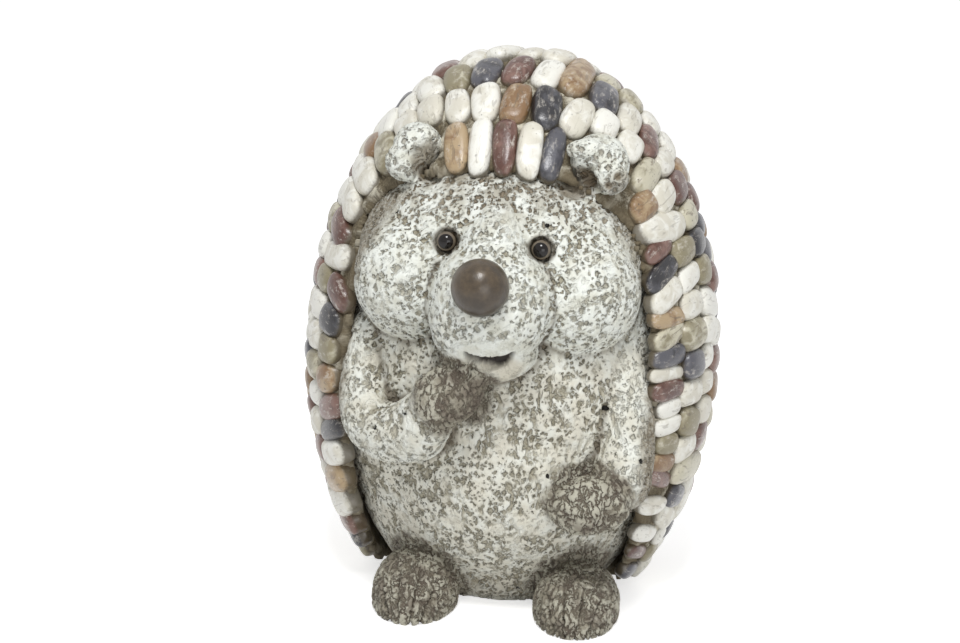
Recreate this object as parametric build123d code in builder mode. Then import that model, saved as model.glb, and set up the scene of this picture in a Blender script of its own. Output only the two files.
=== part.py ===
"""Hedgehog figurine: a hollow casting with a stone-set back, glass eyes and a ball nose.

Millimetres, +Z up. The figure faces -Y and rests on Z = 0.
The casting is an egg with a head, limbs and feet modelled on its front.
A mantle of mortar wraps the egg's back and stops at an oval opening around the face and belly.
Pebbles are bedded on the mantle, in courses that run round the opening to the middle of the back.
"""

from build123d import *
from bisect import bisect_left
from functools import cache
from itertools import accumulate, pairwise
from math import asin, cos, hypot, pi, radians, sin, sqrt
import os
import random

# Egg: the plain round back of the casting
egg_radius = 81.5
egg_half_height = 126.0
egg_centre_height = 106.0
egg_centre_back = 14.0
wall = 9.0

# Mortar mantle and the oval opening in its front
mortar_thickness = 7.0
mantle_floor_gap = 2.0
opening_half_width = 66.5
opening_rise = 91.0
opening_drop = 150.0
opening_fullness = 2.5
opening_point_count = 24
edge_limit_share = 0.97

# Head
head_half_width = 64.0
head_radius = 48.5
head_place_shares = (-0.022, 0.478, 0.381)
head_lean_degrees = 1.2
cheek_radius = 28.5
cheek_place_shares = (0.52, 0.42, -0.12)

# Muzzle, jaw, mouth and the bridge from the brow to the nose, placed by shares of the head
muzzle_radius = 26.0
muzzle_place_shares = (0.015, 0.95, -0.19)
jaw_radius = 19.0
jaw_half_height = 12.0
jaw_place_shares = (0.045, 0.87, -0.62)
mouth_half_width = 13.0
mouth_radius = 7.0
mouth_place_shares = (0.035, 1.24, -0.55)
bridge_radius = 15.0
bridge_half_length = 32.0
bridge_place_shares = (0.005, 0.84, 0.24)
bridge_slope_degrees = 49.0

# Ball nose on a dowel
nose_radius = 11.8
nose_dowel_radius = 3.0
nose_dowel_length = 10.0
nose_rise_degrees = 23.0
nose_seat_share = 0.32
nose_side_share = -0.06

# Glass eyes on a shank, in countersunk sockets
eye_radius = 4.3
eye_shank_radius = 1.4
eye_shank_length = 7.0
eye_rim_radius = 5.6
eye_rim_depth = 3.0
eye_place_shares = (0.31, 0.30)
eye_seat_share = 0.25

# Ears
right_ear_radius = 11.0
left_ear_radius = 12.8
ear_half_depth = 14.0
ear_place_shares = (0.605, 0.27, 0.985)
ear_hollow_radius = 7.0
ear_hollow_shares = (-0.25, 0.95, -0.42)

# Belly
belly_radius = 60.0
belly_half_height = 66.0
belly_place_shares = (0.02, 0.27, -0.29)

# Arms: a row of round sections, each placed by shares of the egg, and its radius
arm_radius = 12.5
arm_ball_share = 1.03
arm_ball_places_share = (0.0, 0.25, 0.5, 0.75, 1.0)
right_arm_path_shares = [
    (-0.67, 0.60, 0.115, 0.96),
    (-0.69, 0.72, -0.06, 1.00),
    (-0.622, 0.84, -0.165, 1.04),
    (-0.451, 0.96, -0.17, 1.08),
    (-0.29, 1.06, -0.09, 1.00),
]
left_arm_path_shares = [
    (0.60, 0.60, 0.115, 0.96),
    (0.68, 0.68, -0.05, 0.96),
    (0.705, 0.74, -0.19, 1.00),
    (0.69, 0.80, -0.305, 1.06),
]

# Paws and feet
paw_half_length = 18.0
paw_radius = 12.5
right_paw_place_shares = (-0.165, 1.13, 0.01)
right_paw_lean_degrees = -38.0
left_paw_place_shares = (0.545, 0.94, -0.375)
left_paw_lean_degrees = -14.0
foot_half_length = 30.0
foot_radius = 19.0
foot_centre_height = 6.0
foot_spread_share = 0.44
foot_side_share = 0.05
foot_forward_share = 0.69
groove_half_width = 1.1
groove_radius = 11.0
groove_depth = 2.4
groove_side_shares = (-0.42, 0.0, 0.42)
foot_groove_rise_share = 0.35
paw_groove_rise_shares = (-0.45, 0.0, 0.45)
paw_groove_reach_share = 0.75

# Pebbles
course_count = 12
edge_share = 0.50
pole_share = 0.35
pebble_width = 12.5
pole_stone_radius = 5.8
pole_stone_half_length = 6.4
pebble_proud = 1.2
pebble_bed_depth = 6.0
pebble_gap = 0.4
pebble_floor_gap = 1.5
pebble_fill_share = 1.25
pebble_jitter_share = 0.10
pebble_turn_degrees = 9.0
neighbour_reach = 40.0
shrink_share = 0.93
shrink_tries = 12
round_share = 0.93
back_share = 0.35
crown_share = 0.64
colour_names = {"w": "white", "s": "slate", "r": "russet", "o": "ochre", "g": "olive"}
colour_weights = {"w": 46, "s": 15, "r": 14, "o": 13, "g": 12}
course_seed = 11
path_step_count = 240
meridian_step_count = 60
skin_point_count = 60

# First course, from the floor at the figure's right, over the brow, to the floor at its left:
# a letter for the stone's colour and a number for its width, in tenths of the usual
first_course_shares = """s8 o8 r6 g6 w8 w8 w8 s7 r7 o8 g9 w7 w8 r8 w6 s9 g8 o8 w10 s9 r9 w8 o12 w9 w11
w12 s9 w10 r10 w10 o10 w9 g9 g10 s12 w12 g10 w12 r12 s13 g12 o13 r11 s10 w12 o13 w13 r11 s10 g9"""
second_course = "wgwwsgwgwsgwwgwwgwwwsowwwwgwwrwgwwgwwrwwsw"
third_course = "gwswwgrwwwwwgsgrwrwsowrsgwwwowwgwrww"

os.makedirs("parts", exist_ok=True)

egg_half_sizes = (egg_radius, egg_radius, egg_half_height)
head_half_sizes = (head_half_width, head_radius, head_radius)


def sphere_directions(count):
    """Directions spread evenly over a sphere."""
    turn = pi * (3 - sqrt(5))
    for i in range(count):
        z = 1 - (2 * i + 1) / count
        yield Vector(sqrt(1 - z**2) * cos(i * turn), sqrt(1 - z**2) * sin(i * turn), z)


class Lump:
    """A round lump: an ellipsoid turned about the Z axis of its own location."""

    directions = list(sphere_directions(skin_point_count))

    def __init__(self, location, radius, half_length):
        self.location = location
        self.radius = radius
        self.half_length = half_length
        plane = Plane(location)
        self.centre = plane.origin
        self.axes = (plane.x_dir, plane.y_dir, plane.z_dir)
        self.half_sizes = (radius, radius, half_length)

    def solid(self):
        with BuildPart() as lump:
            if self.radius == self.half_length:
                Sphere(self.radius)
            else:
                with BuildSketch(Plane.XZ):
                    with BuildLine():
                        EllipticalCenterArc((0, 0), self.radius, self.half_length, start_angle=-90, arc_size=180)
                        Line((0, self.half_length), (0, -self.half_length))
                    make_face()
                revolve(axis=Axis.Z)
        return self.location * lump.part

    def skin(self, spare=0.0):
        """Points spread over the lump's surface, or so far outside it."""
        sizes = [half + spare for half in self.half_sizes]
        for direction in self.directions:
            steps = (axis * (size * share) for axis, size, share in zip(self.axes, sizes, direction))
            yield sum(steps, self.centre)

    def holds(self, point):
        offset = point - self.centre
        shares = (offset.dot(axis) / half for axis, half in zip(self.axes, self.half_sizes))
        return sum(share**2 for share in shares) < 1

    def meets(self, other, gap):
        """Whether the two come nearer than the gap."""
        if (self.centre - other.centre).length > max(self.half_sizes) + max(other.half_sizes) + gap:
            return False
        return any(other.holds(point) for point in self.skin(gap)) or any(
            self.holds(point) for point in other.skin(gap)
        )


def at(side, forward, height):
    """The point so far to +X, in front of the egg's axis and above the floor."""
    return Vector(side, egg_centre_back - forward, height)


def on_egg(shares):
    """The point placed by shares of the egg's half sizes, from its centre."""
    side, forward, rise = (share * half for share, half in zip(shares, egg_half_sizes))
    return at(side, forward, egg_centre_height + rise)


def on_head(shares, side=1):
    """The point placed by shares of the head's half sizes, mirrored where side is -1."""
    across, forward, rise = (share * half for share, half in zip(shares, head_half_sizes))
    return Vector(side * across, -forward, rise)


# The head is built about its own centre and then posed as one
head_pose = Location(on_egg(head_place_shares), (0, head_lean_degrees, 0))
upright = (0, 0, 0)
sideways = (0, 90, 0)
forwards = (90, 0, 0)


def head_lump(shares, radius, half_length, turn=upright, side=1):
    return Lump(head_pose * Location(on_head(shares, side), turn), radius, half_length)


head = head_lump((0, 0, 0), head_radius, head_half_width, sideways)
cheeks = [head_lump(cheek_place_shares, cheek_radius, cheek_radius, side=side) for side in (-1, 1)]
muzzle = head_lump(muzzle_place_shares, muzzle_radius, muzzle_radius)
jaw = head_lump(jaw_place_shares, jaw_radius, jaw_half_height)
mouth = head_lump(mouth_place_shares, mouth_radius, mouth_half_width, sideways)
bridge = head_lump(bridge_place_shares, bridge_radius, bridge_half_length, (-bridge_slope_degrees, 0, 0))
ear_radii = {-1: right_ear_radius, 1: left_ear_radius}
ears = [head_lump(ear_place_shares, ear_radii[side], ear_half_depth, forwards, side) for side in (-1, 1)]


def ear_hollow(side):
    """The scoop in the front of an ear, low and towards the face."""
    across, forward, rise = ear_hollow_shares
    radius = ear_radii[side]
    offset = Vector(side * across * radius, -forward * ear_half_depth, rise * radius)
    pose = head_pose * Location(on_head(ear_place_shares, side) + offset)
    return Lump(pose, ear_hollow_radius, ear_hollow_radius).solid()


ear_hollows = [ear_hollow(side) for side in (-1, 1)]

# Nose: a ball seated in the muzzle, on a dowel that runs in towards the muzzle's centre
nose_rise = radians(nose_rise_degrees)
nose_out = Vector(nose_side_share, -cos(nose_rise), sin(nose_rise)).normalized()
nose_centre = on_head(muzzle_place_shares) + nose_out * (muzzle_radius + nose_seat_share * nose_radius)
into = (Align.CENTER, Align.CENTER, Align.MIN)
with BuildPart(Plane(head_pose * Plane(origin=nose_centre, z_dir=-nose_out).location)) as nose:
    Sphere(nose_radius)
    Cylinder(nose_dowel_radius, nose_radius + nose_dowel_length, align=into)
nose.part.label = "nose"
export_step(nose.part, "parts/nose.step")


def eye_plane(side):
    """The eye's seat on the face, its Z axis into the head."""
    across, rise = eye_place_shares
    seat = on_head((across, sqrt(1 - across**2 - rise**2), rise), side)
    out = Vector(*(step / half**2 for step, half in zip(seat, head_half_sizes))).normalized()
    out = (out + Vector(0, -1, 0)).normalized()
    plane = Plane(origin=seat - out * eye_seat_share * eye_radius, z_dir=-out)
    return Plane(head_pose * plane.location)


def glass_eye(side):
    """A glass ball on its shank."""
    with BuildPart(eye_plane(side)) as eye:
        Sphere(eye_radius)
        Cylinder(eye_shank_radius, eye_radius + eye_shank_length, align=into)
    return eye


def eye_rim(side):
    """The countersunk rim of an eye's socket."""
    with BuildPart(eye_plane(side).offset(-eye_rim_depth / 2)) as rim:
        Cone(eye_rim_radius, eye_radius, eye_rim_depth, align=into)
    return rim.part


right_eye = glass_eye(-1)
right_eye.part.label = "right_eye"
export_step(right_eye.part, "parts/right_eye.step")
left_eye = glass_eye(1)
left_eye.part.label = "left_eye"
export_step(left_eye.part, "parts/left_eye.step")
sockets = [nose.part, right_eye.part, left_eye.part, eye_rim(-1), eye_rim(1)]


def arm_points(path_shares):
    return [(on_egg(row[:3]), row[3] * arm_radius) for row in path_shares]


def arm_balls(path_shares):
    """Balls that fill the arm closely, to tell where a pebble would meet it."""
    balls = []
    for (start, start_radius), (end, end_radius) in pairwise(arm_points(path_shares)):
        for share in arm_ball_places_share:
            radius = (start_radius + (end_radius - start_radius) * share) * arm_ball_share
            balls.append(Lump(Location(start + (end - start) * share), radius, radius))
    return balls


def arm(path_shares):
    """Round sections lofted along the arm's path, with a slightly larger ball at each end."""
    rows = arm_points(path_shares)
    centres = [centre for centre, radius in rows]
    with BuildPart() as tube:
        for i, (centre, radius) in enumerate(rows):
            along = centres[min(i + 1, len(rows) - 1)] - centres[max(i - 1, 0)]
            with BuildSketch(Plane(origin=centre, z_dir=along)):
                Circle(radius)
        loft()
        for centre, radius in (rows[0], rows[-1]):
            with Locations(centre):
                Sphere(radius * arm_ball_share)
    return tube.part


def paw(place_shares, lean_degrees):
    """A paw, its length across the figure and leaning."""
    return Lump(Location(on_egg(place_shares), (0, 90 + lean_degrees, 0)), paw_radius, paw_half_length)


right_paw = paw(right_paw_place_shares, right_paw_lean_degrees)
left_paw = paw(left_paw_place_shares, left_paw_lean_degrees)


def foot(side):
    across = (side * foot_spread_share + foot_side_share) * egg_radius
    centre = at(across, foot_forward_share * egg_radius, foot_centre_height)
    return Lump(Location(centre, forwards), foot_radius, foot_half_length)


feet = [foot(side) for side in (-1, 1)]


def groove(lump, out, along):
    """A thin disc on edge, sunk in the lump where its surface faces out, running the way of along."""
    local = Vector(*(out.dot(axis) for axis in lump.axes))
    reach = 1 / sqrt(sum((step / half) ** 2 for step, half in zip(local, lump.half_sizes)))
    centre = lump.centre + out * (reach + groove_radius - groove_depth)
    plane = Plane(origin=centre, x_dir=out, z_dir=out.cross(along))
    return Lump(plane.location, groove_radius, groove_half_width).solid()


toe_outs = [Vector(share, -1, foot_groove_rise_share).normalized() for share in groove_side_shares]
toe_grooves = [groove(lump, out, Vector(0, 0, 1)) for lump in feet for out in toe_outs]
finger_grooves = [
    groove(lump, Vector(side * paw_groove_reach_share, -1, rise).normalized(), Vector(1, 0, 0))
    for lump, side in ((right_paw, 1), (left_paw, -1))
    for rise in paw_groove_rise_shares
]

egg = Lump(Location(at(0, 0, egg_centre_height)), egg_radius, egg_half_height)
cavity = Lump(egg.location, egg_radius - wall, egg_half_height - wall)
belly = Lump(Location(on_egg(belly_place_shares)), belly_radius, belly_half_height)

# Outer form of the casting, fused one lump at a time
with BuildPart() as figure:
    add(egg.solid())
    add(belly.solid())
    add(arm(right_arm_path_shares))
    add(arm(left_arm_path_shares))
    for lump in (right_paw, left_paw, *feet, head, *cheeks, jaw):
        add(lump.solid())
    add(mouth.solid(), mode=Mode.SUBTRACT)
    for lump in (muzzle, bridge, *ears):
        add(lump.solid())

# Casting: one hollow piece, open underneath
with BuildPart() as body_casting:
    add(figure.part)
    for cut in (*ear_hollows, *toe_grooves, *finger_grooves, *sockets):
        add(cut, mode=Mode.SUBTRACT)
    add(cavity.solid(), mode=Mode.SUBTRACT)
    split(bisect_by=Plane.XY, keep=Keep.TOP)
body_casting.part.label = "body_casting"
export_step(body_casting.part, "parts/body_casting.step")

# Mantle
mantle_radius = egg_radius + mortar_thickness
mantle_half_height = egg_half_height + mortar_thickness
mantle_egg = Lump(egg.location, mantle_radius, mantle_half_height)


def opening_reach(around):
    """How far the opening's edge lies from the egg's centre in front view, at an angle around it."""
    upright = opening_rise if sin(around) > 0 else opening_drop
    across_share = abs(cos(around)) / opening_half_width
    upright_share = abs(sin(around)) / upright
    return (across_share**opening_fullness + upright_share**opening_fullness) ** (-1 / opening_fullness)


def mantle_reach(around):
    return 1 / hypot(cos(around) / mantle_radius, sin(around) / mantle_half_height)


def mantle_point(around, away):
    """The mantle's point at an angle around the front and an angle away from the front's middle."""
    across = mantle_reach(around) * sin(away)
    return egg.centre + Vector(across * cos(around), -mantle_radius * cos(away), across * sin(around))


def mantle_out(point):
    steps = point - egg.centre
    return Vector(*(step / half**2 for step, half in zip(steps, mantle_egg.half_sizes))).normalized()


@cache
def meridian(around):
    """Points from the opening's edge to the middle of the back, and the length walked to each."""
    start = asin(min(opening_reach(around) / mantle_reach(around), edge_limit_share))
    steps = range(meridian_step_count + 1)
    points = [mantle_point(around, start + (pi - start) * step / meridian_step_count) for step in steps]
    return points, walked(points)


def walked(points):
    """The length walked to each point of a row."""
    return list(accumulate(((b - a).length for a, b in pairwise(points)), initial=0.0))


def between(values, lengths, target):
    """The value at a length along a row."""
    i = min(max(bisect_left(lengths, target), 1), len(lengths) - 1)
    share = (target - lengths[i - 1]) / (lengths[i] - lengths[i - 1])
    return values[i - 1] + (values[i] - values[i - 1]) * share


def stone_at(around, share, width, dice):
    """A pebble across the course, its length along the meridian."""
    points, lengths = meridian(around)
    band = lengths[-1] / (course_count + pole_share)
    centre = between(points, lengths, share * lengths[-1])
    ahead = between(points, lengths, share * lengths[-1] + pole_share * band)
    out = mantle_out(centre)
    turn = dice.uniform(-pebble_turn_degrees, pebble_turn_degrees)
    along = out.cross((ahead - centre).cross(out)).rotate(Axis(Vector(), out), turn)
    length = pebble_fill_share * band * (1 - dice.uniform(0, pebble_jitter_share))
    breadth = (width - pebble_gap) * (1 - dice.uniform(0, pebble_jitter_share))
    plane = Plane(origin=centre + out * pebble_proud, x_dir=-out, z_dir=along)
    return Lump(plane.location, breadth / 2, length / 2)


def course_path(share):
    """Angles round the opening where the course is above the floor, and the length walked to each."""
    angles = [2 * pi * step / path_step_count - pi / 2 for step in range(path_step_count + 1)]
    row = []
    for around in angles:
        points, lengths = meridian(around)
        point = between(points, lengths, share * lengths[-1])
        if point.Z > pebble_floor_gap + pebble_width / 2:
            row.append((around, point))
    return [around for around, point in row], walked([point for around, point in row])


def fitted(stone, others, gap, held_share=1):
    """The stone, shortened until it clears the others and the floor, or None where it can't.

    held_share is 1 to keep its back end where it is and 0 to keep its middle there.
    Its width stays until it has become round.
    """
    for _ in range(shrink_tries):
        low = min(point.Z for point in stone.skin())
        if low > pebble_floor_gap and not any(stone.meets(other, gap) for other in others):
            return stone
        half_length = stone.half_length * shrink_share
        location = stone.location * Location((0, 0, held_share * (stone.half_length - half_length)))
        stone = Lump(location, min(stone.radius, half_length * round_share), half_length)
    return None


def neighbours(stone, laid):
    """The stones laid so far that could touch this one."""
    return [other for other, *_ in laid if (other.centre - stone.centre).length < neighbour_reach]


def course_letters(number, count, dice):
    """The colours of a course, as letters: listed for the two courses behind the first, else drawn."""
    listed = {2: second_course, 3: third_course}.get(number, "")
    drawn = dice.choices(list(colour_weights), colour_weights.values(), k=count)
    return [listed[i] if i < len(listed) else drawn[i] for i in range(count)]


def lay_stones():
    """All pebbles, each with its colour's letter and its angle round the opening."""
    dice = random.Random(course_seed)
    arms = arm_balls(right_arm_path_shares) + arm_balls(left_arm_path_shares)
    body = [head, *cheeks, *ears, *feet, right_paw, left_paw, belly, *arms]
    laid = []
    for number in range(1, course_count + 1):
        share = (number - 1 + edge_share) / (course_count - 0.5 + edge_share + pole_share)
        angles, lengths = course_path(share)
        if number == 1:
            words = first_course_shares.split()
            letters = [word[0] for word in words]
            widths = [int(word[1:]) for word in words]
        else:
            count = round(lengths[-1] / pebble_width)
            letters = course_letters(number, count, dice)
            widths = [1 + dice.uniform(-pebble_jitter_share, pebble_jitter_share) for letter in letters]
        unit = lengths[-1] / sum(widths)
        ends = [unit * end for end in accumulate(widths, initial=0)]
        for letter, (start, end) in zip(letters, pairwise(ends)):
            around = between(angles, lengths, (start + end) / 2)
            stone = stone_at(around, share, end - start, dice)
            stone = fitted(stone, body + neighbours(stone, laid), pebble_gap / 2)
            if stone:
                laid.append((stone, letter, around))
    middle = mantle_point(pi / 2, pi)
    out = mantle_out(middle)
    plane = Plane(origin=middle + out * pebble_proud, x_dir=-out, z_dir=Vector(0, 0, 1))
    stone = Lump(plane.location, pole_stone_radius, pole_stone_half_length)
    stone = fitted(stone, neighbours(stone, laid), pebble_gap / 2, held_share=0)
    if stone:
        laid.append((stone, "w", pi / 2))
    return laid


def region(stone, around):
    """The part of the mantle that a stone lies on."""
    if stone.centre.Y > egg.centre.Y + egg_radius * back_share:
        return "upper_back" if stone.centre.Z > egg_centre_height else "lower_back"
    if sin(around) > crown_share:
        return "crown"
    return "left_flank" if cos(around) > 0 else "right_flank"


laid = lay_stones()
groups = {}
for stone, letter, around in laid:
    groups.setdefault(f"{colour_names[letter]}_pebbles_{region(stone, around)}", []).append(stone)


def bedded(stone):
    """The stone's outer half, on straight sides that end in the curve of the mantle."""
    with BuildPart() as pebble:
        with BuildSketch(Plane.YZ):
            with BuildLine():
                EllipticalCenterArc((0, 0), stone.radius, stone.half_length, start_angle=-90, arc_size=180)
                Line((0, stone.half_length), (0, -stone.half_length))
            make_face()
        revolve(axis=Axis.Z, revolution_arc=180)
        with BuildSketch(Plane.YZ):
            Ellipse(stone.radius, stone.half_length)
        extrude(amount=pebble_bed_depth)
    return stone.location * pebble.part - mantle_egg.solid()


# Pebbles: one file for each colour and region
for name, stones in groups.items():
    with BuildPart() as pebbles:
        add([bedded(stone) for stone in stones])
    pebbles.part.label = name
    export_step(pebbles.part, f"parts/{name}.step")

# Opening: the oval that the face and belly fill
outline_angles = [2 * pi * i / opening_point_count for i in range(opening_point_count)]
reaches = [opening_reach(angle) for angle in outline_angles]
outline = [
    (reach * cos(angle), egg_centre_height + reach * sin(angle))
    for reach, angle in zip(reaches, outline_angles)
]
with BuildPart() as opening:
    with BuildSketch(Plane.XZ.offset(-egg.centre.Y)):
        with BuildLine():
            Spline(*outline, periodic=True)
        make_face()
    extrude(amount=2 * mantle_radius)

with BuildPart() as mortar_coat:
    add(mantle_egg.solid())
    add(opening.part, mode=Mode.SUBTRACT)
    add(figure.part, mode=Mode.SUBTRACT)
    split(bisect_by=Plane.XY.offset(mantle_floor_gap), keep=Keep.TOP)
mortar_coat.part.label = "mortar_coat"
export_step(mortar_coat.part, "parts/mortar_coat.step")
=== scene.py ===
"""Looks of the hedgehog figurine: a pitted casting, mortar set with pebbles, glass eyes and a ball nose.

Metres, +Z up, the figure faces -Y. Small sizes are written in millimetres and multiplied by MM.
"""

import random
from math import cos, pi, radians, sin

import bmesh
import bpy
import numpy as np
from mathutils import Euler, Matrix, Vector, noise


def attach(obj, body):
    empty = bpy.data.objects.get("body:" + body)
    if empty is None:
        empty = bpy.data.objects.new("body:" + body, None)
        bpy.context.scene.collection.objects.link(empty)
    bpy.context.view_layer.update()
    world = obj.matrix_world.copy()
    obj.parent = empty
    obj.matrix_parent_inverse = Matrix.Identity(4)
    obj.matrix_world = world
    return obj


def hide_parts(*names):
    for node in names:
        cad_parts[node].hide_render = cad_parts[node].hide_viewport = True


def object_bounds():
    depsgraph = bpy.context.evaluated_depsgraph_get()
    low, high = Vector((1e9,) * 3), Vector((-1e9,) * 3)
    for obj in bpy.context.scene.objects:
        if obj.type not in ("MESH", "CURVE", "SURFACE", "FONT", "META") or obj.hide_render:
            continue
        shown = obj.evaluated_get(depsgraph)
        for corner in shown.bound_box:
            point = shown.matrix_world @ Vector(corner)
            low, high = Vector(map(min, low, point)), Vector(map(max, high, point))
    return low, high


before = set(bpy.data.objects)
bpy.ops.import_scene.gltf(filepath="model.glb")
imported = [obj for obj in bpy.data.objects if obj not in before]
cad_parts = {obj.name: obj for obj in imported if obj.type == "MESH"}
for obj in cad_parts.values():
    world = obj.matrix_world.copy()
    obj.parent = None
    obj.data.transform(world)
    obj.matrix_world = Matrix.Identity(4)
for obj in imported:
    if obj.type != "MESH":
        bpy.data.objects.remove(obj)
cad_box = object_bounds()

MM = 0.001

# Camera: the photograph's viewing angle
CAMERA_AZIMUTH = 6.0
CAMERA_ELEVATION = 13.0
CAMERA_ROLL = 3.0
CAMERA_DISTANCE = 0.900
CAMERA_TARGET = Vector((0, 14, 108)) * MM
CAMERA_LENS = 73.4
CAMERA_SHIFT = (-0.0344, 0.0245)

# Egg form that the casting and the mortar follow
EGG_CENTRE = Vector((0, 14, 106)) * MM
EGG_RADIUS = 81.5 * MM
EGG_HALF_HEIGHT = 126.0 * MM
MORTAR_THICKNESS = 7.0 * MM

# Places on the casting, right and left as the figure's own
MOUTH_CENTRE = Vector((1.0, -86.0, 126.6)) * MM
MOUTH_HALF_SIZES = Vector((10.5, 20.0, 5.6)) * MM
UPPER_LIP_CENTRE = Vector((0.6, -86.0, 131.5)) * MM
UPPER_LIP_HALF_SIZES = Vector((13.0, 20.0, 6.0)) * MM
RIGHT_PAW = Vector((-13.4, -78.1, 107.3)) * MM
LEFT_PAW = Vector((44.4, -62.6, 58.8)) * MM
RIGHT_FOOT = Vector((-31.8, -42.2, 6.0)) * MM
LEFT_FOOT = Vector((39.9, -42.2, 6.0)) * MM
# Where half the wash is left off the left arm, as painted light
LEFT_ARM_PAINTED_LIGHT = Vector((62, -40, 88)) * MM
LEFT_ARM_PAINTED_LIGHT_HALF_SIZES = Vector((15, 30, 40)) * MM
NOSE_CENTRE = Vector((-2.6, -98.4, 156.4)) * MM
NOSE_RADIUS = 11.75 * MM
RIGHT_EYE = Vector((-21.2, -67.7, 168.8)) * MM
LEFT_EYE = Vector((18.2, -67.7, 168.0)) * MM
EYE_RADIUS = 4.3 * MM
RIGHT_EAR = Vector((-40.5, -38.1, 201.8)) * MM
LEFT_EAR = Vector((36.9, -38.1, 201.8)) * MM

# Mesh sizes
CASTING_VOXEL = 0.96 * MM
MORTAR_VOXEL = 1.65 * MM
HIDDEN_KEEP = 0.35
HEAD_SEAM_HEIGHT = 118.0 * MM
JOIN_DISTANCE = 0.005 * MM


def linear(red, green, blue):
    """A colour given as 0 to 255 on screen, as the shader wants it."""
    shares = (value / 255 for value in (red, green, blue))
    return (*(s / 12.92 if s <= 0.04045 else ((s + 0.055) / 1.055) ** 2.4 for s in shares), 1.0)


# Node trees

class Graph:
    """Adds nodes to a shader or geometry tree. Sizes are in metres."""

    def __init__(self, tree):
        self.tree = tree

    def add(self, kind, inputs=(), **settings):
        node = self.tree.nodes.new(kind)
        for name, value in settings.items():
            setattr(node, name, value)
        for name, value in dict(inputs).items():
            if isinstance(value, bpy.types.NodeSocket):
                self.tree.links.new(value, node.inputs[name])
            else:
                node.inputs[name].default_value = value
        return node

    def math(self, operation, a, b=0.0, clamp=False):
        return self.add("ShaderNodeMath", {0: a, 1: b}, operation=operation, use_clamp=clamp).outputs[0]

    def plus(self, a, b):
        return self.math("ADD", a, b)

    def times(self, a, b):
        return self.math("MULTIPLY", a, b)

    def most(self, *values):
        result = values[0]
        for value in values[1:]:
            result = self.math("MAXIMUM", result, value)
        return result

    def less(self, a, b):
        """a, reduced where b is near 1."""
        return self.times(a, self.math("SUBTRACT", 1.0, b, clamp=True))

    def ramp(self, value, start, end, low=0.0, high=1.0):
        """A smooth step from low at start to high at end, whichever of the two is larger."""
        inputs = {"Value": value, "From Min": start, "From Max": end, "To Min": low, "To Max": high}
        return self.add("ShaderNodeMapRange", inputs, interpolation_type="SMOOTHSTEP").outputs[0]

    def swing(self, value, reach):
        """A value from 0 to 1 as one that swings about zero, by half the reach to each side."""
        return self.times(self.plus(value, -0.5), reach)

    def vector(self, operation, a, b=(0, 0, 0), output="Vector", **inputs):
        node = self.add("ShaderNodeVectorMath", {0: a, 1: b, **inputs}, operation=operation)
        return node.outputs[output]

    def stretched(self, where, scale):
        return self.vector("MULTIPLY", where, scale)

    def axis(self, where, number):
        return self.add("ShaderNodeSeparateXYZ", {0: where}).outputs[number]

    def height_of(self, where):
        return self.axis(where, 2)

    def noise(self, where, size, detail=2.0, roughness=0.5, distortion=0.0, output="Fac"):
        inputs = {"Vector": where, "Scale": 1 / size, "Detail": detail, "Roughness": roughness}
        return self.add("ShaderNodeTexNoise", {**inputs, "Distortion": distortion}).outputs[output]

    def shaken(self, where, size, reach, detail=2.0):
        """The place moved about by a noise of the given size, by up to about half the reach."""
        colour = self.noise(where, size, detail, output="Color")
        shift = self.stretched(self.vector("SUBTRACT", colour, (0.5,) * 3), (reach,) * 3)
        return self.vector("ADD", where, shift)

    def cells(self, where, size, metric="EUCLIDEAN"):
        return self.add("ShaderNodeTexVoronoi", {"Vector": where, "Scale": 1 / size}, distance=metric)

    def near(self, where, centre, half_sizes, soft=0.25):
        """1 within an ellipsoid with its axes along the frame's, 0 outside it."""
        offset = self.vector("SUBTRACT", where, tuple(centre))
        length = self.vector("LENGTH", self.vector("DIVIDE", offset, tuple(half_sizes)), output="Value")
        return self.ramp(length, 1 + soft, 1 - soft)

    def near_any(self, where, places, soft=0.25):
        """1 within any of the ellipsoids, each given as a centre and half sizes."""
        return self.most(*(self.near(where, centre, half_sizes, soft) for centre, half_sizes in places))


class Finish(Graph):
    """A material with one Principled shader, whose sockets are set by name."""

    def __init__(self, name, **constants):
        self.material = bpy.data.materials.new(name)
        self.material.use_nodes = True
        super().__init__(self.material.node_tree)
        self.shader = self.tree.nodes["Principled BSDF"]
        for socket, value in constants.items():
            self.shader.inputs[socket.replace("_", " ")].default_value = value

    def read(self, name, output="Fac"):
        """An attribute of the mesh."""
        return self.add("ShaderNodeAttribute", attribute_name=name).outputs[output]

    def place(self):
        return self.add("ShaderNodeTexCoord").outputs["Object"]

    def mix(self, share, a, b):
        node = self.add("ShaderNodeMix", data_type="RGBA")
        for socket, value in ((node.inputs[0], share), (node.inputs[6], a), (node.inputs[7], b)):
            if isinstance(value, bpy.types.NodeSocket):
                self.tree.links.new(value, socket)
            else:
                socket.default_value = value
        return node.outputs[2]

    def set(self, socket, value):
        self.tree.links.new(value, self.shader.inputs[socket])

    def bump(self, height, depth):
        """Relief of the given depth, in metres, for a height from 0 to 1."""
        self.set("Normal", self.add("ShaderNodeBump", {"Height": height, "Distance": depth}).outputs[0])


# Mesh tools

def only(obj):
    """Selects one object and makes it active."""
    bpy.ops.object.select_all(action="DESELECT")
    obj.select_set(True)
    bpy.context.view_layer.objects.active = obj


def apply_modifier(obj, kind, **settings):
    only(obj)
    modifier = obj.modifiers.new(kind.title(), kind)
    for name, value in settings.items():
        setattr(modifier, name, value)
    bpy.ops.object.modifier_apply(modifier=modifier.name)


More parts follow.
